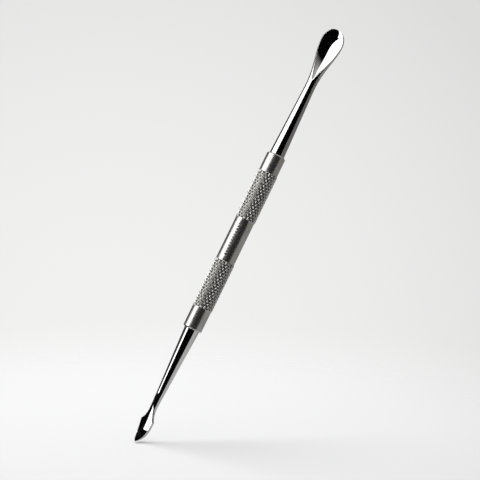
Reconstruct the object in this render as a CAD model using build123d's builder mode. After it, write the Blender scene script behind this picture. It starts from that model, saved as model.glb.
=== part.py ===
"""Double-ended cuticle pusher: a knurled bar handle, a spoon pusher in one end, a spear in the other.

Millimetres. +Z runs along the tool with the spoon uppermost and its hollow face towards -Y. The
origin is on the tool's axis, at the middle of the handle.
"""

import os
from math import cos, pi, radians, sin, tan

from build123d import *

# ---------------------------------------------------------------- handle, turned from one bar
grip_diameter = 6.0
knurl_crest_diameter = 6.4
lower_collar_length = 7.0
lower_knurl_length = 16.0
middle_band_length = 14.0
upper_knurl_length = 16.0
upper_collar_length = 6.2
end_chamfer_length = 0.38
end_chamfer_depth = 0.5
knurl_end_bevel = 0.2

# ---------------------------------------------------------------- tangs of both ends and their bores
tang_diameter = 3.2
tang_length = 11.0
tang_lead_in = 0.4
relief_length = 0.8
relief_depth = 0.15
vent_flat_depth = 0.2
bond_gap = 0.01
bore_end_space = 1.0
bore_mouth_chamfer = 0.15
drill_point_angle = 118.0

# ---------------------------------------------------------------- spoon end
shank_base_diameter = 4.75
spoon_shank_length = 22.9
spoon_neck_diameter = 3.2
spoon_length = 20.0
spoon_width = 7.3
spoon_widest_share = 0.785
spoon_half_thickness = 1.25
spoon_tip_half_thickness = 0.18
spoon_lean_back = 0.5
spoon_tip_reach = 0.7
spoon_tip_fullness = 0.8
dish_start = 2.5
dish_start_radius = 0.35
dish_radius = 7.0
dish_floor = 0.95
dish_tip_wall = 0.2
dish_overrun = 0.3

# ---------------------------------------------------------------- spear end
spear_shank_length = 25.0
spear_neck_diameter = 2.24
spear_length = 12.9
spear_width = 4.3
spear_barb_share = 0.426
# the edges' two pulls are shares of the half width and of the height from the point to the barbs
spear_edge_pull = (0.93, 0.68)
spear_point_pull = (0.745, 0.16)
spear_thickness = 1.7
spear_tip_thickness = 0.5
spear_lean_back = 0.12
spear_belly = 0.72
spear_tip_reach = 1.5
scoop_start = 0.4
scoop_start_radius = 0.35
scoop_deepest_share = 0.66
scoop_radius = 8.8
scoop_floor = 0.05
scoop_tip_wall = 0.25
spear_turn = -18.0

# ---------------------------------------------------------------- worked out from the sizes above
knurl_and_collar = upper_collar_length + upper_knurl_length
handle_length = lower_collar_length + lower_knurl_length + middle_band_length + knurl_and_collar
upper_face = handle_length / 2
lower_face = -handle_length / 2
grip_radius = grip_diameter / 2
crest_radius = knurl_crest_diameter / 2
tang_radius = tang_diameter / 2
bore_radius = tang_radius + bond_gap
bore_depth = tang_length + bore_end_space
shank_radius = shank_base_diameter / 2
spoon_neck_radius = spoon_neck_diameter / 2
spear_neck_radius = spear_neck_diameter / 2
half_spoon = spoon_width / 2
half_spear = spear_width / 2


def ease(share):
    """Rise from 0 to 1 that is level at both ends."""
    return (1 - cos(pi * share)) / 2


def between(first, last, share):
    """The value that lies the given share of the way from first to last."""
    return first + (last - first) * share


def knurled_step(start, end):
    """Half section of one knurled band: a raised land with a bevel at each end."""
    Polyline(
        (grip_radius, start),
        (crest_radius, start + knurl_end_bevel),
        (crest_radius, end - knurl_end_bevel),
        (grip_radius, end),
    )


def shank_and_tang(face, inward, neck_radius, neck_height):
    """Half section of a tapered shank, its shoulder on the handle's face, and the tang inside."""
    relief_radius = tang_radius - relief_depth
    Polyline(
        (0, neck_height),
        (neck_radius, neck_height),
        (shank_radius, face),
        (relief_radius, face),
        (relief_radius, face + inward * relief_length),
        (tang_radius, face + inward * (relief_length + relief_depth)),
        (tang_radius, face + inward * (tang_length - tang_lead_in)),
        (tang_radius - tang_lead_in, face + inward * tang_length),
        (0, face + inward * tang_length),
        close=True,
    )


# ================================================================ handle
with BuildPart() as handle:
    with BuildSketch(Plane.XZ):
        with BuildLine():
            knurl_1 = lower_face + lower_collar_length
            knurl_2 = upper_face - upper_collar_length - upper_knurl_length
            Polyline(
                (grip_radius, knurl_1),
                (grip_radius, lower_face + end_chamfer_length),
                (grip_radius - end_chamfer_depth, lower_face),
                (0, lower_face),
                (0, upper_face),
                (grip_radius - end_chamfer_depth, upper_face),
                (grip_radius, upper_face - end_chamfer_length),
                (grip_radius, upper_face - upper_collar_length),
            )
            knurled_step(knurl_1, knurl_1 + lower_knurl_length)
            Line((grip_radius, knurl_1 + lower_knurl_length), (grip_radius, knurl_2))
            knurled_step(knurl_2, knurl_2 + upper_knurl_length)
        make_face()
    revolve(axis=Axis.Z)
    # a bore for the tang in each end, with a drill point and a broken edge at its mouth
    drill_point = bore_radius / tan(radians(drill_point_angle / 2))
    for face, inward in ((upper_face, -1), (lower_face, 1)):
        with BuildSketch(Plane.XZ):
            with BuildLine():
                Polyline(
                    (0, face),
                    (bore_radius + bore_mouth_chamfer, face),
                    (bore_radius, face + inward * bore_mouth_chamfer),
                    (bore_radius, face + inward * bore_depth),
                    (0, face + inward * (bore_depth + drill_point)),
                    close=True,
                )
            make_face()
        revolve(axis=Axis.Z, mode=Mode.SUBTRACT)

# ================================================================ spoon end
with BuildPart() as pusher_end:
    neck = upper_face + spoon_shank_length
    tip = neck + spoon_length
    widest = between(neck, tip, spoon_widest_share)
    with BuildSketch(Plane.XZ):
        with BuildLine():
            shank_and_tang(upper_face, -1, spoon_neck_radius, neck)
        make_face()
    revolve(axis=Axis.Z)
    # the spoon swells from the round neck to its widest place and leans back
    for share in (0, 0.1, 0.25, 0.45, 0.65, 0.85, 1):
        with BuildSketch(Plane.XY.offset(between(neck, widest, share))):
            with Locations((0, spoon_lean_back * ease(share))):
                Ellipse(
                    between(spoon_neck_radius, half_spoon, ease(share**1.2)),
                    between(spoon_neck_radius, spoon_half_thickness, ease(share)),
                )
    # above it, the outline rounds over while the thin tip curls forward
    tip_angle = 82
    for angle in (24, 46, 65, tip_angle):
        share = sin(radians(angle)) / sin(radians(tip_angle))
        with BuildSketch(Plane.XY.offset(between(widest, tip, share))):
            with Locations((0, between(spoon_lean_back, -spoon_tip_reach, share**3))):
                Ellipse(
                    half_spoon * cos(radians(angle)) ** spoon_tip_fullness,
                    between(spoon_half_thickness, spoon_tip_half_thickness, share**2),
                )
    loft()
    # the hollow face: a round groove that widens as its turning axis leans away from the neck
    dish_foot = (-spoon_neck_radius, neck + dish_start)
    dish_end = (-spoon_tip_reach + spoon_tip_half_thickness - dish_tip_wall, tip + dish_overrun)
    axis_start = (dish_foot[0] - dish_start_radius, dish_foot[1])
    axis_slope = (dish_floor - dish_radius - axis_start[0]) / (widest - axis_start[1])
    axis_end = (axis_start[0] + axis_slope * (dish_end[1] - axis_start[1]), dish_end[1])
    with BuildSketch(Plane.YZ):
        with BuildLine():
            Spline(dish_foot, (dish_floor, widest), dish_end, tangents=((1, 2), (-1, 1.4)))
            Polyline(dish_end, axis_end, axis_start, dish_foot)
        make_face()
    revolve(axis=Axis((0, *axis_start), (0, axis_slope, 1)), mode=Mode.SUBTRACT)
    # flat along the tang that lets air out of the bore
    with BuildSketch(Plane.XY.offset(upper_face)):
        with Locations((0, tang_radius)):
            Rectangle(tang_diameter, 2 * vent_flat_depth)
    extrude(amount=-tang_length, mode=Mode.SUBTRACT)

# ================================================================ spear end
with BuildPart() as spear_end:
    neck = lower_face - spear_shank_length
    point = neck - spear_length
    barbs = between(neck, point, spear_barb_share)
    blade_x = Vector(1, 0, 0).rotate(Axis.Z, spear_turn)
    blade_y = Vector(0, 1, 0).rotate(Axis.Z, spear_turn)
    blade_front = Plane(origin=(0, 0, 0), x_dir=blade_x, z_dir=-blade_y)
    blade_side = Plane(origin=(0, 0, 0), x_dir=blade_y, z_dir=blade_x)
    blade_level = Plane(origin=(0, 0, 0), x_dir=blade_x, z_dir=(0, 0, 1))
    with BuildSketch(Plane.XZ):
        with BuildLine():
            shank_and_tang(lower_face, 1, spear_neck_radius, neck)
        make_face()
    revolve(axis=Axis.Z)
    # the blade's blank is wider than its outline, bellies back below the barbs and curls forward
    blank_half_width = 1.5 * half_spear
    for share in (0, 0.25, 0.5, 0.75, 1):
        with BuildSketch(blade_level.offset(between(neck, barbs, share))):
            with Locations((0, spear_lean_back * ease(share))):
                Ellipse(
                    between(spear_neck_radius, blank_half_width, ease(share**3)),
                    between(spear_neck_radius, spear_thickness / 2, ease(share)),
                )
    curl = spear_lean_back + spear_belly + spear_tip_reach
    for share in (0.25, 0.5, 0.75, 1):
        with BuildSketch(blade_level.offset(between(barbs, point, share))):
            with Locations((0, spear_lean_back + spear_belly * share - curl * share**4)):
                Ellipse(
                    blank_half_width,
                    between(spear_thickness, spear_tip_thickness, share**2) / 2,
                )
    loft()
    # the ground outline: hollow shoulders, two barbs, and bowed edges that meet in the point
    tang_top = lower_face + tang_length
    clear_of_neck = 0.02
    with BuildSketch(blade_front):
        with BuildLine():
            Polyline(
                (0, point),
                (0, tang_top),
                (grip_radius, tang_top),
                (grip_radius, lower_face - clear_of_neck),
                (spear_neck_radius + clear_of_neck, neck),
            )
            Spline(
                (spear_neck_radius + clear_of_neck, neck),
                (half_spear, barbs),
                tangents=((0, -1), (1, -0.9)),
            )
            drop = barbs - point
            Bezier(
                (half_spear, barbs),
                (spear_edge_pull[0] * half_spear, point + spear_edge_pull[1] * drop),
                (spear_point_pull[0] * half_spear, point + spear_point_pull[1] * drop),
                (0, point),
            )
        make_face()
        mirror(about=Plane.YZ)
    extrude(amount=grip_radius, both=True, mode=Mode.INTERSECT)
    # the scooped face, cut as the spoon's is
    scoop_foot = (-spear_neck_radius, neck - scoop_start)
    scoop_end = (-spear_tip_reach + spear_tip_thickness / 2 - scoop_tip_wall, point)
    deepest = (scoop_floor, between(neck, point, scoop_deepest_share))
    axis_start = (scoop_foot[0] - scoop_start_radius, scoop_foot[1])
    axis_slope = (deepest[0] - scoop_radius - axis_start[0]) / (deepest[1] - axis_start[1])
    axis_end = (axis_start[0] + axis_slope * (point - axis_start[1]), point)
    with BuildSketch(blade_side):
        with BuildLine():
            Spline(scoop_foot, deepest, scoop_end, tangents=((1, -3), (-1, -1.4)))
            Polyline(scoop_end, axis_end, axis_start, scoop_foot)
        make_face()
    scoop_axis = Axis(blade_side.from_local_coords(axis_start), blade_y * axis_slope + Vector(0, 0, 1))
    revolve(axis=scoop_axis, mode=Mode.SUBTRACT)
    # flat along the tang that lets air out of the bore
    with BuildSketch(Plane.XY.offset(lower_face)):
        with Locations((0, tang_radius)):
            Rectangle(tang_diameter, 2 * vent_flat_depth)
    extrude(amount=tang_length, mode=Mode.SUBTRACT)

# ================================================================ files
handle.part.label = "handle"
pusher_end.part.label = "pusher_end"
spear_end.part.label = "spear_end"
os.makedirs("parts", exist_ok=True)
export_step(handle.part, "parts/handle.step")
export_step(pusher_end.part, "parts/pusher_end.step")
export_step(spear_end.part, "parts/spear_end.step")
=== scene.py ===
from collections import namedtuple
from math import asin, atan2, cos, degrees, pi, radians, sin, sqrt, tan

import bmesh
import bpy
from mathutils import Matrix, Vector


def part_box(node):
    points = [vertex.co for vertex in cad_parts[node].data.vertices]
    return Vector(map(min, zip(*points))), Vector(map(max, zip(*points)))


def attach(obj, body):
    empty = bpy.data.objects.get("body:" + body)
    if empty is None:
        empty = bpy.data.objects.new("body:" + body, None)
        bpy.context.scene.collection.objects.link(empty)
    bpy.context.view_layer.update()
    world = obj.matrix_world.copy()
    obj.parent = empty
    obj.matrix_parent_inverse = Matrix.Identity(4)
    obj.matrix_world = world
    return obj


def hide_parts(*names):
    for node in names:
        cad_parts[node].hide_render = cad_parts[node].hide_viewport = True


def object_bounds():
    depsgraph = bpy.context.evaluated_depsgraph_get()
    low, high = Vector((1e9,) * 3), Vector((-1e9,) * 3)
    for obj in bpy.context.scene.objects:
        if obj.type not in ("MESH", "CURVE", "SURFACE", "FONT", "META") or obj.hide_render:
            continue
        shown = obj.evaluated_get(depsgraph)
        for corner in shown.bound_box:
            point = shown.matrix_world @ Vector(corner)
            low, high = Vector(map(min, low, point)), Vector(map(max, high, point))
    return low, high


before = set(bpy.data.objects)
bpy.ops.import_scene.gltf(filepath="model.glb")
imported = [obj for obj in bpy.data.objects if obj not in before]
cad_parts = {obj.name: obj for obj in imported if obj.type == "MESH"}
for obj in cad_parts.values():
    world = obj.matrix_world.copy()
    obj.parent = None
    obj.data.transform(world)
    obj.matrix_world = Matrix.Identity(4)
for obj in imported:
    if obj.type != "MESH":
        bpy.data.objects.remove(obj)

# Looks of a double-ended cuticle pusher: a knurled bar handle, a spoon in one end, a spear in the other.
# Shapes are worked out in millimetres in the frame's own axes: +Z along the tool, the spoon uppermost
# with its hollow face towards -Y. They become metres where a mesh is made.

cad_box = [list(corner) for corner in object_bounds()]
mm = 0.001
tolerance = 1e-6
merge_distance = 1e-7
shortest_edge = 1e-8

# ---------------------------------------------------------------- places taken from the frame, in mm
lower_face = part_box("handle")[0].z / mm
upper_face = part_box("handle")[1].z / mm
crest_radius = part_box("handle")[1].x / mm
spoon_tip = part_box("pusher_end")[1].z / mm
spear_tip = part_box("spear_end")[0].z / mm

# ---------------------------------------------------------------- handle
grip_radius = 3.0
lower_collar_length = 7.0
upper_collar_length = 6.2
knurl_length = 16.0
end_chamfer_length = 0.38
end_chamfer_depth = 0.5
knurl_bevel = 0.2
knurl_run_in = 0.45
knurl_depth = 0.44
knurl_blunting = 0.36
teeth_around = 17
steps_per_half_tooth = 5
rows_per_knurl = 88
rows_per_mark = 3
handle_sharp_angle = 28
edge_break = 0.05
bore_radius = 1.61
bore_depth = 12.0
bore_mouth_chamfer = 0.15
drill_point_angle = 118.0

# ---------------------------------------------------------------- generic etched graduation on the handle
mark_count = 12
mark_pitch = 0.92
mark_length = 0.42
mark_half_span_steps = 5
mark_azimuth = -1.0
mark_middle = 0.4
mark_depth = 0.02

# ---------------------------------------------------------------- tangs and shanks
tang_radius = 1.6
tang_length = 11.0
tang_lead_in = 0.4
relief_length = 0.8
relief_depth = 0.15
shank_radius = 2.375
shank_rings = 22

# ---------------------------------------------------------------- spoon
spoon_neck_radius = 1.6
spoon_length = 20.0
half_spoon = 3.65
spoon_widest_share = 0.785
spoon_half_thickness = 1.25
spoon_tip_half_thickness = 0.18
spoon_lean_back = 0.5
spoon_tip_reach = 0.7
spoon_tip_fullness = 0.8
spoon_front_power = 2.6
dish_start = 2.5
dish_start_radius = 0.35
dish_radius = 6.2
dish_widening = 1.25
dish_floor = 0.95
dish_foot_slope = 0.42
dish_widest_slope = -0.08
dish_tip_slope = -0.9
spoon_flare = 1.2

# ---------------------------------------------------------------- spear
spear_neck_radius = 1.12
spear_length = 12.9
half_spear = 2.15
spear_barb_share = 0.426
spear_edge_pull = (0.93, 0.68)
spear_point_pull = (0.745, 0.16)
spear_half_thickness = 0.85
spear_tip_half_thickness = 0.25
spear_blank_share = 1.5
spear_blank_flare = 3
# the shoulder's sweep into the barb: outwards and downwards, in shares of the height from neck to barbs
shoulder_sweep = (0.74, -0.67)
spear_lean_back = 0.12
spear_belly = 0.72
spear_tip_reach = 1.5
scoop_start = 0.4
scoop_start_radius = 0.35
scoop_foot_slope = -0.333
scoop_floor_slope = -0.02
scoop_crease_share = 0.66
scoop_crease_slope = 0.15
scoop_tip_slope = 0.42
scoop_tip_wall = 0.1
scoop_radius = 8.8
scoop_floor = 0.05
spear_turn = radians(-18.0)

# ---------------------------------------------------------------- how finely the ends are meshed
dish_samples = 14
land_samples = 16
side_samples = 4
back_samples = 14
# samples gather towards the rim by this power
gathering = 1.5
flare_rings = 78
spoon_tip_rings = 48
spoon_last_angle = radians(88.5)
shoulder_rings = 40
edge_rings = 44
end_sharp_angle = 32
rim_halvings = 30
rim_limit_share = 0.97
thinnest_edge = 0.02
rim_softness = 0.07
side_crown = 0.04
side_start = radians(84)
plain_split = radians(45)
narrow_split = radians(3)
split_run = 4.0

neck_of_spoon = spoon_tip - spoon_length
neck_of_spear = spear_tip + spear_length


def ease(share):
    """Rise from 0 to 1 that is level at both ends."""
    return (1 - cos(pi * share)) / 2


def between(first, last, share):
    """The value that lies the given share of the way from first to last."""
    return first + (last - first) * share


def hermite(start, end, at):
    """Height at a place on the cubic between two (place, height, slope) ends."""
    span = end[0] - start[0]
    t = (at - start[0]) / span
    rise = start[1] * (1 - 3 * t**2 + 2 * t**3) + end[1] * (3 * t**2 - 2 * t**3)
    return rise + span * (start[2] * t * (1 - t) ** 2 + end[2] * (t**3 - t**2))


def mesh_object(name, points, faces, sharp_angle):
    """A closed mesh object in metres from points in millimetres, smooth but for its sharp edges."""
    mesh = bpy.data.meshes.new(name)
    mesh.from_pydata([[c * mm for c in point] for point in points], [], faces)
    shaped = bmesh.new()
    shaped.from_mesh(mesh)
    bmesh.ops.remove_doubles(shaped, verts=shaped.verts, dist=merge_distance)
    bmesh.ops.dissolve_degenerate(shaped, edges=shaped.edges, dist=shortest_edge)
    bmesh.ops.recalc_face_normals(shaped, faces=shaped.faces)
    shaped.to_mesh(mesh)
    shaped.free()
    mesh.shade_smooth()
    mesh.set_sharp_from_angle(angle=radians(sharp_angle))
    piece = bpy.data.objects.new(name, mesh)
    bpy.context.scene.collection.objects.link(piece)
    return piece


def skin(rings, first, last, split_of=None):
    """Points and faces of a skin over equal rings, closed at its ends by fans to two points.

    split_of says whether and which way a four-sided face is split, for the knurl's sharp grooves.
    """
    count = len(rings[0])
    points = [point for ring in rings for point in ring] + [first, last]
    faces = []
    for row in range(len(rings) - 1):
        for column in range(count):
            following = (column + 1) % count
            a = row * count + column
            b = row * count + following
            c = b + count
            d = a + count
            split = split_of(row, column) if split_of else None
            if split == "rising":
                faces += [(a, b, c), (a, c, d)]
            elif split == "falling":
                faces += [(a, b, d), (b, c, d)]
            else:
                faces.append((a, b, c, d))
    top = (len(rings) - 1) * count
    for column in range(count):
        following = (column + 1) % count
        faces.append((following, column, len(points) - 2))
        faces.append((top + column, top + following, len(points) - 1))
    return points, faces


# ================================================================ handle
columns = 2 * steps_per_half_tooth * teeth_around
Row = namedtuple("Row", "z radius knurl_row knurl_edge")


def plain_row(z, radius):
    return Row(z, radius, None, 0)


def knurl_rows(start):
    """Rows over one knurled band, with the envelope's radius and the distance to the nearer end."""
    rows = []
    for step in range(rows_per_knurl + 1):
        along = knurl_length * step / rows_per_knurl
        edge = min(along, knurl_length - along)
        land = between(grip_radius, crest_radius, min(edge / knurl_bevel, 1))
        rows.append(Row(start + along, land, step - rows_per_knurl // 2, edge))
    return rows


def handle_rows():
    """The handle's half section, from the foot of the lower bore over the outside to the upper one."""
    drill_point = bore_radius / tan(radians(drill_point_angle / 2))
    knurl_1 = lower_face + lower_collar_length
    knurl_2 = upper_face - upper_collar_length - knurl_length
    face_radius = grip_radius - end_chamfer_depth
    rows = [
        plain_row(lower_face + bore_depth, bore_radius),
        plain_row(lower_face + bore_mouth_chamfer, bore_radius),
        plain_row(lower_face, bore_radius + bore_mouth_chamfer),
        plain_row(lower_face, face_radius - edge_break),
        plain_row(lower_face + edge_break, face_radius),
        plain_row(lower_face + end_chamfer_length - edge_break, grip_radius - edge_break),
        plain_row(lower_face + end_chamfer_length, grip_radius),
    ]
    # one row each millimetre on the collars
    foot = lower_face + end_chamfer_length
    count = int(lower_collar_length - end_chamfer_length)
    rows += [plain_row(foot + n, grip_radius) for n in range(1, count + 1)]
    rows += knurl_rows(knurl_1)
    for mark in range(mark_count):
        foot = mark_middle + mark_pitch * (mark - (mark_count - 1) / 2) - mark_length / 2
        rows += [
            plain_row(foot + mark_length * part / rows_per_mark, grip_radius)
            for part in range(rows_per_mark + 1)
        ]
    rows += knurl_rows(knurl_2)
    top = upper_face - end_chamfer_length
    count = int(upper_collar_length - end_chamfer_length)
    rows += [plain_row(top - n, grip_radius) for n in range(count, 0, -1)]
    rows += [
        plain_row(top, grip_radius),
        plain_row(top + edge_break, grip_radius - edge_break),
        plain_row(upper_face - edge_break, face_radius),
        plain_row(upper_face, face_radius - edge_break),
        plain_row(upper_face, bore_radius + bore_mouth_chamfer),
        plain_row(upper_face - bore_mouth_chamfer, bore_radius),
        plain_row(upper_face - bore_depth, bore_radius),
    ]
    first = (0, 0, lower_face + bore_depth + drill_point)
    last = (0, 0, upper_face - bore_depth - drill_point)
    return rows, first, last


def from_tooth(place):
    """0 in the middle of a tooth and 1 in the groove beside it, along one of the knurl's diagonals."""
    turns = place / (2 * steps_per_half_tooth)
    return 2 * abs(turns - round(turns))


def is_groove(place):
    return place % (2 * steps_per_half_tooth) == steps_per_half_tooth


def is_in_mark(z):
    """Whether a height lies inside one of the etched marks."""
    number = round((z - mark_middle) / mark_pitch + (mark_count - 1) / 2)
    middle = mark_middle + mark_pitch * (number - (mark_count - 1) / 2)
    return 0 <= number < mark_count and abs(z - middle) < mark_length / 2 - tolerance


mark_column = round(columns * (mark_azimuth - 90) / 360) % columns


def steps_from_mark(column):
    """Signed steps round the handle from the middle of the etched row, whole or not."""
    return (column - mark_column + columns // 2) % columns - columns // 2


def handle_radius(row, column):
    """Radius of the turned, knurled and etched surface."""
    if row.knurl_row is None:
        etched = abs(row.radius - grip_radius) < tolerance and is_in_mark(row.z)
        in_row = abs(steps_from_mark(column)) < mark_half_span_steps
        return row.radius - (mark_depth if etched and in_row else 0)
    groove = max(
        from_tooth(column + row.knurl_row), from_tooth(column - row.knurl_row), knurl_blunting
    )
    depth = knurl_depth * (groove - knurl_blunting) / (1 - knurl_blunting)
    return row.radius - depth * min(row.knurl_edge / knurl_run_in, 1)


def make_handle():
    rows, first, last = handle_rows()
    rings = []
    for row in rows:
        ring = []
        for column in range(columns):
            angle = 2 * pi * column / columns
            radius = handle_radius(row, column)
            ring.append((radius * cos(angle), radius * sin(angle), row.z))
        rings.append(ring)

    def split_of(number, column):
        knurl_row = rows[number].knurl_row
        if knurl_row is None or rows[number + 1].knurl_row is None:
            return None
        if is_groove(column + knurl_row + 1):
            return "falling"
        if is_groove(column - knurl_row):
            return "rising"
        return None

    return mesh_object("knurled_handle", *skin(rings, first, last, split_of), handle_sharp_angle)


def etch_faces(handle):
    """Gives the second material to the faces inside each etched mark."""
    for face in handle.data.polygons:
        middle = face.center / mm
        column = columns * degrees(atan2(middle.y, middle.x)) / 360 - 0.5
        in_row = abs(steps_from_mark(column)) < mark_half_span_steps
        on_grip = abs(middle.xy.length - grip_radius) < 2 * mark_depth
        if on_grip and in_row and is_in_mark(middle.z):
            face.material_index = 1


# ================================================================ both ends: rings of one closed section
# width: where the sides are ground off. blank, thick, centre: the ellipse they are ground from.
# bottom, radius: the hollow's lowest line and its roundness across, or None where there is no hollow.
# split: where the ring's samples divide if there is no rim. crown: how far the ground sides bow out.
# power: 2 for a front as round as an ellipse, and more for a squarer one.
Section = namedtuple("Section", "z width blank thick centre bottom radius split crown power")


def round_section(z, radius):
    return Section(z, radius, radius, radius, 0, None, None, plain_split, 0, 2)


def outer_height(section, angle):
    """The blank's front surface at an angle of its ellipse, 0 in the middle of the front."""
    return section.centre - section.thick * (1 - sin(angle) ** section.power) ** (1 / section.power)


def hollow_height(section, x):
    """Height of the hollow's surface at x across the tool."""
    return section.bottom - section.radius + sqrt(max(section.radius**2 - x**2, 0))


def front_height(section, x, angle):
    """The front surface: the blank's, or the hollow's where that is deeper, with a softened rim."""
    outer = outer_height(section, angle)
    if section.bottom is None:
        return outer
    hollow = hollow_height(section, x)
    near = max(rim_softness - abs(outer - hollow), 0) / rim_softness
    return max(outer, hollow) + near**2 * rim_softness / 4


def rim_angle(section, side):
    """The blank's angle at which the hollow's rim lies."""
    if section.bottom is None:
        return section.split
    low, high = 0.0, side
    for _ in range(rim_halvings):
        middle = (low + high) / 2
        x = section.blank * sin(middle)
        cut = hollow_height(section, x) > outer_height(section, middle)
        low, high = (middle, high) if cut else (low, middle)
    return min(max(low, narrow_split), rim_limit_share * side)


def half_ring(section):
    """Points of one half, from the middle of the front round the side to the middle of the back."""
    widest_x = section.width - section.crown
    side = min(asin(min(widest_x / section.blank, 1)), side_start)
    rim = rim_angle(section, side)
    angles = [rim * (1 - (1 - n / dish_samples) ** gathering) for n in range(dish_samples)]
    angles += [between(rim, side, (n / land_samples) ** gathering) for n in range(land_samples + 1)]
    points = []
    for angle in angles:
        x = min(section.blank * sin(angle), widest_x)
        points.append((x, front_height(section, x, angle)))
    front = points[-1][1]
    back = max(section.centre + section.thick * cos(side), front + thinnest_edge)
    for n in range(1, side_samples + 1):
        share = n / side_samples
        x = min(section.blank * sin(between(side, pi - side, share)), widest_x)
        x += section.crown * (1 - (2 * share - 1) ** 2)
        points.append((x, between(front, back, share)))
    for n in range(1, back_samples + 1):
        angle = side * (1 - n / back_samples)
        points.append((section.blank * sin(angle), section.centre + section.thick * cos(angle)))
    return points


def ring_of(section, turn):
    """The whole ring, turned about the tool's axis."""
    half = half_ring(section)
    outline = half + [(-x, y) for x, y in reversed(half[1:-1])]
    return [
        (x * cos(turn) - y * sin(turn), x * sin(turn) + y * cos(turn), section.z)
        for x, y in outline
    ]


def tang_sections(face, inward):
    """The tang inside the handle, from its end out to the shank's shoulder."""
    relief = tang_radius - relief_depth
    places = (
        (tang_length, tang_radius - tang_lead_in),
        (tang_length - tang_lead_in, tang_radius),
        (relief_length + relief_depth, tang_radius),
        (relief_length, relief),
        (0, relief),
    )
    return [round_section(face + inward * depth, radius) for depth, radius in places]


def shank_sections(face, neck, neck_radius):
    return [
        round_section(
            between(face, neck, n / shank_rings),
            between(shank_radius, neck_radius, n / shank_rings),
        )
        for n in range(shank_rings)
    ]


def make_end(name, sections, tip, turn):
    """One end as a closed mesh; tip is the y and z of its last point before the turn."""
    rings = [ring_of(section, turn) for section in sections]
    first = (0, 0, sections[0].z)
    last = (-tip[0] * sin(turn), tip[0] * cos(turn), tip[1])
    return mesh_object(name, *skin(rings, first, last), end_sharp_angle)


# ================================================================ spoon
widest_of_spoon = between(neck_of_spoon, spoon_tip, spoon_widest_share)
foot_of_dish = neck_of_spoon + dish_start


def dish_bottom(z):
    """The dish's lowest line: two cubics that meet where the spoon is widest."""
    foot = (foot_of_dish, -spoon_neck_radius, dish_foot_slope)
    middle = (widest_of_spoon, dish_floor, dish_widest_slope)
    end = (spoon_tip, -spoon_tip_reach, dish_tip_slope)
    return hermite(foot, middle, z) if z < widest_of_spoon else hermite(middle, end, z)


def spoon_hollow(z):
    """The dish's lowest line and cross radius, or None below where it starts."""
    if z < foot_of_dish:
        return None, None
    opened = min((z - foot_of_dish) / (widest_of_spoon - foot_of_dish), 1)
    return dish_bottom(z), between(dish_start_radius, dish_radius, opened**dish_widening)


def spoon_sections():
    """Sections that swell from the neck to the widest place, then round over into the curled tip."""
    sections = []
    for n in range(flare_rings):
        share = n / flare_rings
        z = between(neck_of_spoon, widest_of_spoon, share)
        to_dish = (foot_of_dish - z) / split_run
        width = between(spoon_neck_radius, half_spoon, ease(share**spoon_flare))
        thick = between(spoon_neck_radius, spoon_half_thickness, ease(share))
        split = between(narrow_split, plain_split, ease(min(max(to_dish, 0), 1)))
        centre = spoon_lean_back * ease(share)
        power = between(2, spoon_front_power, ease(share))
        sections.append(Section(z, width, width, thick, centre, *spoon_hollow(z), split, 0, power))
    for n in range(spoon_tip_rings):
        angle = spoon_last_angle * n / (spoon_tip_rings - 1)
        z = between(widest_of_spoon, spoon_tip, sin(angle))
        width = half_spoon * cos(angle) ** spoon_tip_fullness
        thick = between(spoon_half_thickness, spoon_tip_half_thickness, sin(angle) ** 2)
        centre = between(spoon_lean_back, -spoon_tip_reach, sin(angle) ** 3)
        hollow = spoon_hollow(z)
        sections.append(
            Section(z, width, width, thick, centre, *hollow, narrow_split, 0, spoon_front_power)
        )
    return sections


def make_spoon():
    sections = tang_sections(upper_face, -1)
    sections += shank_sections(upper_face, neck_of_spoon, spoon_neck_radius)
    sections += spoon_sections()
    return make_end("spoon_end", sections, (-spoon_tip_reach, spoon_tip), 0)


# ================================================================ spear
barbs_of_spear = between(neck_of_spear, spear_tip, spear_barb_share)
crease_of_scoop = between(neck_of_spear, spear_tip, scoop_crease_share)
foot_of_scoop = neck_of_spear - scoop_start


def spear_hollow(z):
    """The scoop's lowest line and cross radius, or None above where it starts."""
    if z > foot_of_scoop:
        return None, None
    if z > crease_of_scoop:
        start = (foot_of_scoop, -spear_neck_radius, scoop_foot_slope)
        bottom = hermite(start, (crease_of_scoop, scoop_floor, scoop_floor_slope), z)
    else:
        tip_bottom = spear_tip_half_thickness - spear_tip_reach - scoop_tip_wall
        end = (spear_tip, tip_bottom, scoop_tip_slope)
        bottom = hermite((crease_of_scoop, scoop_floor, scoop_crease_slope), end, z)
    opened = (foot_of_scoop - z) / (foot_of_scoop - crease_of_scoop)
    return bottom, between(scoop_start_radius, scoop_radius, opened)


def blade_section(z, width, share):
    """A section between the neck and the barbs, at that share of the way."""
    blank = between(spear_neck_radius, spear_blank_share * half_spear, ease(share**spear_blank_flare))
    thick = between(spear_neck_radius, spear_half_thickness, ease(share))
    centre = spear_lean_back * ease(share)
    width = min(width, blank)
    crown = side_crown * share
    return Section(z, width, blank, thick, centre, *spear_hollow(z), plain_split, crown, 2)


def point_section(z, width, share):
    """A section between the barbs and the point."""
    thick = between(spear_half_thickness, spear_tip_half_thickness, share**2)
    curl = spear_lean_back + spear_belly + spear_tip_reach
    centre = spear_lean_back + spear_belly * share - curl * share**4
    crown = min(side_crown, width / 4)
    blank = spear_blank_share * half_spear
    return Section(z, width, blank, thick, centre, *spear_hollow(z), plain_split, crown, 2)


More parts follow.
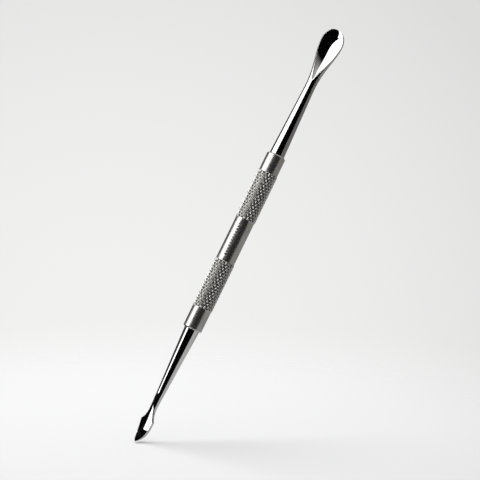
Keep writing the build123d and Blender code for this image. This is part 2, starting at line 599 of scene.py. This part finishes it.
def spear_sections():
    """Sections down the concave shoulders to the barbs, then down the bowed edges to the point."""
    fall = neck_of_spear - barbs_of_spear
    sections = []
    for n in range(shoulder_rings + 1):
        # the concave shoulder: straight down at the neck, sweeping outwards into the barb
        t = n / shoulder_rings
        start_weight = 1 - 3 * t**2 + 2 * t**3
        width = spear_neck_radius * start_weight + half_spear * (1 - start_weight)
        width += (t**3 - t**2) * shoulder_sweep[0] * fall
        z = neck_of_spear * start_weight + barbs_of_spear * (1 - start_weight)
        z += (t * (1 - t) ** 2) * -fall + (t**3 - t**2) * shoulder_sweep[1] * fall
        sections.append(blade_section(z, width, (neck_of_spear - z) / fall))
    drop = barbs_of_spear - spear_tip
    pulls = ((1, 1), spear_edge_pull, spear_point_pull)
    for n in range(1, edge_rings):
        # the bowed edge: a cubic curve from barb to point, fullest near the point
        t = n / edge_rings
        weights = ((1 - t) ** 3, 3 * t * (1 - t) ** 2, 3 * t**2 * (1 - t))
        width = half_spear * sum(weight * pull[0] for weight, pull in zip(weights, pulls))
        z = spear_tip + drop * sum(weight * pull[1] for weight, pull in zip(weights, pulls))
        sections.append(point_section(z, width, (barbs_of_spear - z) / drop))
    return sections


def make_spear():
    sections = tang_sections(lower_face, 1)
    sections += shank_sections(lower_face, neck_of_spear, spear_neck_radius)
    sections += spear_sections()
    tip = (-spear_tip_reach, spear_tip)
    return make_end("spear_end_blade", sections, tip, spear_turn)


# ================================================================ materials
# nearly all of a noise texture's values lie between these
noise_low = 0.3
noise_high = 0.7


def start_material(name):
    """A new node material, with its node tree and its shader."""
    material = bpy.data.materials.new(name)
    material.use_nodes = True
    tree = material.node_tree
    return material, tree, tree.nodes["Principled BSDF"]


def object_position(tree):
    return tree.nodes.new("ShaderNodeTexCoord").outputs["Object"]


def stretched_noise(tree, scale, detail=2.0):
    """Noise over the object's own position, stretched by its three scales per metre."""
    mapping = tree.nodes.new("ShaderNodeMapping")
    mapping.inputs["Scale"].default_value = scale
    noise = tree.nodes.new("ShaderNodeTexNoise")
    noise.inputs["Scale"].default_value = 1.0
    noise.inputs["Detail"].default_value = detail
    tree.links.new(object_position(tree), mapping.inputs["Vector"])
    tree.links.new(mapping.outputs["Vector"], noise.inputs["Vector"])
    return noise.outputs["Fac"]


def ranged(tree, value, low, high):
    """A noise value spread from low to high."""
    node = tree.nodes.new("ShaderNodeMapRange")
    node.inputs["From Min"].default_value = noise_low
    node.inputs["From Max"].default_value = noise_high
    node.inputs["To Min"].default_value = low
    node.inputs["To Max"].default_value = high
    tree.links.new(value, node.inputs["Value"])
    return node.outputs["Result"]


def tinted(tree, value, dark, light):
    """A colour that runs from dark to light with the value."""
    ramp = tree.nodes.new("ShaderNodeValToRGB")
    ramp.color_ramp.elements[0].position = noise_low
    ramp.color_ramp.elements[0].color = (*dark, 1)
    ramp.color_ramp.elements[1].position = noise_high
    ramp.color_ramp.elements[1].color = (*light, 1)
    tree.links.new(value, ramp.inputs["Fac"])
    return ramp.outputs["Color"]


def bumped(tree, shader, value, strength, distance):
    bump = tree.nodes.new("ShaderNodeBump")
    bump.inputs["Strength"].default_value = strength
    bump.inputs["Distance"].default_value = distance
    tree.links.new(value, bump.inputs["Height"])
    tree.links.new(bump.outputs["Normal"], shader.inputs["Normal"])


def satin_steel():
    """Turned stainless bar: fine lines round the handle, and a soft, slightly warm shine."""
    material, tree, shader = start_material("satin_turned_steel")
    turning = stretched_noise(tree, (150, 150, 22000), detail=3)
    clouding = stretched_noise(tree, (500, 500, 300))
    shader.inputs["Metallic"].default_value = 1.0
    tree.links.new(
        tinted(tree, clouding, (0.57, 0.56, 0.54), (0.65, 0.64, 0.62)), shader.inputs["Base Color"]
    )
    tree.links.new(ranged(tree, turning, 0.23, 0.32), shader.inputs["Roughness"])
    bumped(tree, shader, turning, 0.25, 0.000004)
    return material


def polished_steel():
    """Mirror-polished stainless with the faint haze and waviness of hand buffing."""
    material, tree, shader = start_material("polished_steel")
    haze = stretched_noise(tree, (420, 420, 160), detail=4)
    shader.inputs["Metallic"].default_value = 1.0
    tree.links.new(
        tinted(tree, haze, (0.70, 0.70, 0.69), (0.75, 0.75, 0.745)), shader.inputs["Base Color"]
    )
    tree.links.new(ranged(tree, haze, 0.02, 0.05), shader.inputs["Roughness"])
    bumped(tree, shader, haze, 0.05, 0.00002)
    return material


def dark_etch():
    """Electro-etched marks, dull and nearly black."""
    material, tree, shader = start_material("dark_etch")
    grain = stretched_noise(tree, (9000, 9000, 9000), detail=3)
    shader.inputs["Metallic"].default_value = 0.6
    tree.links.new(
        tinted(tree, grain, (0.06, 0.055, 0.05), (0.16, 0.145, 0.13)), shader.inputs["Base Color"]
    )
    tree.links.new(ranged(tree, grain, 0.5, 0.75), shader.inputs["Roughness"])
    bumped(tree, shader, grain, 0.3, 0.000005)
    return material


# ================================================================ pieces
handle = make_handle()
spoon = make_spoon()
spear = make_spear()
polished = polished_steel()
handle.data.materials.append(satin_steel())
handle.data.materials.append(dark_etch())
etch_faces(handle)
for end in (spoon, spear):
    end.data.materials.append(polished)
for piece, node, slot in (
    (handle, "handle", "satin_steel"),
    (spoon, "pusher_end", "polished_steel"),
    (spear, "spear_end", "polished_steel"),
):
    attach(piece, "root")
    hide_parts(node)

# ================================================================ studio
floor_height = cad_box[0][2]
floor_pitch = radians(9)
middle = Vector([(low + high) / 2 for low, high in zip(*cad_box)])
view_azimuth = radians(15)
view_elevation = radians(-4)
view_roll = radians(25.98)
view_distance = 0.6
view_width = 0.1463
sensor_width = 36.0
aim_across = 0.00125
aim_up = -0.0012
tent_radius = 0.35
tent_height = 0.4
degrees_per_facet = 5
key_size = 0.4
key_energy = 4.9
neutral = (1, 1, 1)
warm = (1.0, 0.96, 0.92)
white = 2.2
light_grey = 0.5
mid_grey = 0.3
dark_grey = 0.17
dim = 0.06
black = 0.001


def azimuth_direction(azimuth):
    """Level direction from the tool towards that azimuth; 0 faces the spoon's hollow."""
    return Vector((sin(azimuth), -cos(azimuth), 0))


def emission_material(name, brightness, tint):
    material = bpy.data.materials.new(name)
    material.use_nodes = True
    tree = material.node_tree
    tree.nodes.clear()
    glow = tree.nodes.new("ShaderNodeEmission")
    glow.inputs["Color"].default_value = (*tint, 1)
    glow.inputs["Strength"].default_value = brightness
    output = tree.nodes.new("ShaderNodeOutputMaterial")
    tree.links.new(glow.outputs["Emission"], output.inputs["Surface"])
    return material


def reflected_only(name, points, faces, brightness, tint):
    """A glowing studio surface that shows only in the tool's reflections."""
    mesh = bpy.data.meshes.new(name)
    mesh.from_pydata(points, [], faces)
    mesh.materials.append(emission_material(name, brightness, tint))
    panel = bpy.data.objects.new(name, mesh)
    bpy.context.scene.collection.objects.link(panel)
    for sight in ("camera", "diffuse", "shadow", "transmission"):
        setattr(panel, "visible_" + sight, False)


def tent_panel(name, low, high, foot, head, brightness, tint=neutral, radius=tent_radius):
    """A curved panel between two heights; foot and head hold its first and last azimuths there."""
    steps = max(round((head[1] - head[0]) / degrees_per_facet), 1)
    points = []
    for n in range(steps + 1):
        for height, edges in ((low, foot), (high, head)):
            out = azimuth_direction(radians(between(*edges, n / steps))) * radius
            points.append((out.x, out.y, height))
    faces = [(2 * n, 2 * n + 2, 2 * n + 3, 2 * n + 1) for n in range(steps)]
    reflected_only(name, points, faces, brightness, tint)


def tent_end(name, height, first, last, brightness, tint=neutral):
    """A level sector that closes the tent's foot or top between two azimuths."""
    steps = max(round((last - first) / degrees_per_facet), 1)
    points = [(0, 0, height)]
    for n in range(steps + 1):
        out = azimuth_direction(radians(between(first, last, n / steps))) * tent_radius
        points.append((out.x, out.y, height))
    reflected_only(name, points, [(0, n + 1, n + 2) for n in range(steps)], brightness, tint)


def make_tent():
    """White, black and grey surfaces round the tool, as its polished ends reflect them."""
    softbox_foot = -0.087
    softbox_shoulder = 0.117
    grey_step = -0.045
    dim_step = 0.08
    tall = tent_height
    # over the black flag, the front grows lighter in steps towards the roof
    flag_top = 0.27
    rise_steps = 10
    tent_panel("softbox_low", softbox_foot, grey_step, (-64, -42), (-72, -44), white)
    tent_panel("softbox", grey_step, softbox_shoulder, (-80, -40), (-88, -14), white)
    tent_panel("softbox_top", softbox_shoulder, tall, (-88, -14), (-88, -14), white)
    tent_panel("flag_front_low", softbox_foot, grey_step, (-42, 60), (-44, 64), black)
    tent_panel("flag_front", grey_step, softbox_shoulder, (-40, 64), (-14, 76), black)
    tent_panel("flag_front_top", softbox_shoulder, flag_top, (-14, 76), (-14, 76), black)
    for n in range(rise_steps):
        low = between(flag_top, tall, n / rise_steps)
        high = between(flag_top, tall, (n + 1) / rise_steps)
        brightness = between(black, light_grey, (n + 0.5) / rise_steps)
        tent_panel(f"front_rise_{n}", low, high, (-14, 76), (-14, 76), brightness, warm)
    tent_panel("bounce_left", -tall, softbox_foot, (-95, -50), (-95, -35), white)
    tent_panel("flag_low", -tall, softbox_foot, (-50, 60), (-35, 60), black)
    tent_panel("flag_left", -tall, tall, (-165, -95), (-165, -95), dim)
    tent_panel("flag_left_low", softbox_foot, grey_step, (-95, -64), (-95, -72), dim)
    tent_panel("flag_left_edge", grey_step, softbox_shoulder, (-95, -80), (-95, -88), dim)
    tent_panel("flag_left_top", softbox_shoulder, tall, (-95, -88), (-95, -88), dim)
    tent_panel("wall_low", -tall, grey_step, (60, 195), (64, 195), light_grey)
    tent_panel("wall_middle", grey_step, dim_step, (64, 195), (74, 195), mid_grey, warm)
    tent_panel("wall_top", dim_step, tall, (75, 195), (76, 195), dark_grey, warm)
    tent_end("foot_white", -tall, -95, -50, white)
    tent_end("foot_black", -tall, -50, 60, black)
    tent_end("foot_grey", -tall, 60, 195, light_grey)
    tent_end("foot_dim", -tall, 195, 265, dim)
    tent_end("roof", tall, 0, 360, light_grey)
    # three black cards for the spear's reflections: one darkens the top of its scoop, one its neck
    # and one the lower left of its blade
    near = 0.015
    halfway = 0.1
    card_join = -0.0623
    tent_panel("wedge_card", -0.12, -0.08, (-121, -35), (-40, -35), black, radius=halfway)
    tent_panel("neck_card", card_join, -0.0528, (-110, 20), (-110, 20), black, radius=near)
    tent_panel("point_card", -0.085, card_join, (-51, 25), (-51, 25), black, radius=near)


def make_world():
    """A pale room, brightest ahead of the camera's first place and a little below the tool's middle."""
    brightest_strength = 0.88
    plain_strength = 0.72
    bright_spread = radians(14)
    bright_offset = radians(2)
    bright_drop = 0.01
    world = bpy.data.worlds.new("pale_studio")
    bpy.context.scene.world = world
    world.use_nodes = True
    tree = world.node_tree
    brightest = -azimuth_direction(view_azimuth + bright_offset) - Vector((0, 0, bright_drop))
    nearness = tree.nodes.new("ShaderNodeVectorMath")
    nearness.operation = "DOT_PRODUCT"
    nearness.inputs[1].default_value = brightest.normalized()
    fall = tree.nodes.new("ShaderNodeMapRange")
    fall.inputs["From Min"].default_value = 1.0
    fall.inputs["From Max"].default_value = cos(bright_spread)
    fall.inputs["To Min"].default_value = brightest_strength
    fall.inputs["To Max"].default_value = plain_strength
    coordinates = tree.nodes.new("ShaderNodeTexCoord")
    background = tree.nodes["Background"]
    background.inputs["Color"].default_value = (1.0, 1.0, 0.995, 1)
    tree.links.new(coordinates.outputs["Generated"], nearness.inputs[0])
    tree.links.new(nearness.outputs["Value"], fall.inputs["Value"])
    tree.links.new(fall.outputs["Result"], background.inputs["Strength"])


def make_floor(picture):
    """A pale floor, level in the picture, that fades into the backdrop away from the tool."""
    floor_radius = 0.3
    fade_start = 0.02
    fade_end = 0.2
    cover = 0.85
    bpy.ops.mesh.primitive_circle_add(
        vertices=96, radius=floor_radius, fill_type="NGON", location=(0, 0, floor_height)
    )
    floor = bpy.context.object
    floor.name = "studio_floor"
    material, tree, shader = start_material("pale_floor")
    shader.inputs["Base Color"].default_value = (0.62, 0.62, 0.625, 1)
    shader.inputs["Roughness"].default_value = 0.9
    shader.inputs["Specular IOR Level"].default_value = 0.1
    distance = tree.nodes.new("ShaderNodeVectorMath")
    distance.operation = "LENGTH"
    fade = tree.nodes.new("ShaderNodeMapRange")
    fade.interpolation_type = "SMOOTHSTEP"
    fade.inputs["From Min"].default_value = fade_start
    fade.inputs["From Max"].default_value = fade_end
    fade.inputs["To Min"].default_value = cover
    fade.inputs["To Max"].default_value = 0.0
    tree.links.new(object_position(tree), distance.inputs[0])
    tree.links.new(distance.outputs["Value"], fade.inputs["Value"])
    # its underside is clear, so that it hides nothing of the tool from any side
    side = tree.nodes.new("ShaderNodeNewGeometry")
    clear = tree.nodes.new("ShaderNodeMath")
    clear.operation = "SUBTRACT"
    clear.use_clamp = True
    tree.links.new(fade.outputs["Result"], clear.inputs[0])
    tree.links.new(side.outputs["Backfacing"], clear.inputs[1])
    tree.links.new(clear.outputs["Value"], shader.inputs["Alpha"])
    floor.data.materials.append(material)
    normal = picture @ Vector((0, cos(floor_pitch), sin(floor_pitch)))
    floor.rotation_euler = normal.to_track_quat("Z", "Y").to_euler()
    floor.visible_glossy = False


def make_key_light(picture):
    """A soft light above and behind, a little to the left: a faint shadow runs right of the point."""
    from_lamp_to_point = Vector((0.12, -0.69, 0.19))
    lamp = bpy.data.lights.new("key_softbox", "AREA")
    lamp.shape = "DISK"
    lamp.size = key_size
    lamp.energy = key_energy
    key = bpy.data.objects.new("key_softbox", lamp)
    aim = picture @ from_lamp_to_point
    key.location = Vector((0, 0, floor_height)) - aim
    key.rotation_euler = aim.to_track_quat("-Z", "Y").to_euler()
    key.visible_glossy = False
    bpy.context.scene.collection.objects.link(key)


def make_camera():
    """A camera that looks slightly up and is rolled, so that the tool leans to the right.

    Returns the matrix of the picture's own directions: right, up, and towards the viewer.
    """
    level_right = Vector((cos(view_azimuth), sin(view_azimuth), 0))
    towards = azimuth_direction(view_azimuth) * cos(view_elevation)
    towards.z = sin(view_elevation)
    lens = bpy.data.cameras.new("camera")
    lens.sensor_width = sensor_width
    lens.lens = sensor_width * view_distance / view_width
    camera = bpy.data.objects.new("camera", lens)
    target = middle + level_right * aim_across + Vector((0, 0, aim_up))
    camera.location = target + towards * view_distance
    turn = (-towards).to_track_quat("-Z", "Y").to_matrix().to_4x4()
    camera.rotation_euler = turn.to_euler()
    camera.rotation_euler.rotate_axis("Z", view_roll)
    bpy.context.scene.collection.objects.link(camera)
    bpy.context.scene.camera = camera
    return camera.rotation_euler.to_matrix()


make_world()
in_picture = make_camera()
make_floor(in_picture)
make_key_light(in_picture)
make_tent()
bpy.context.scene.view_settings.view_transform = "Standard"
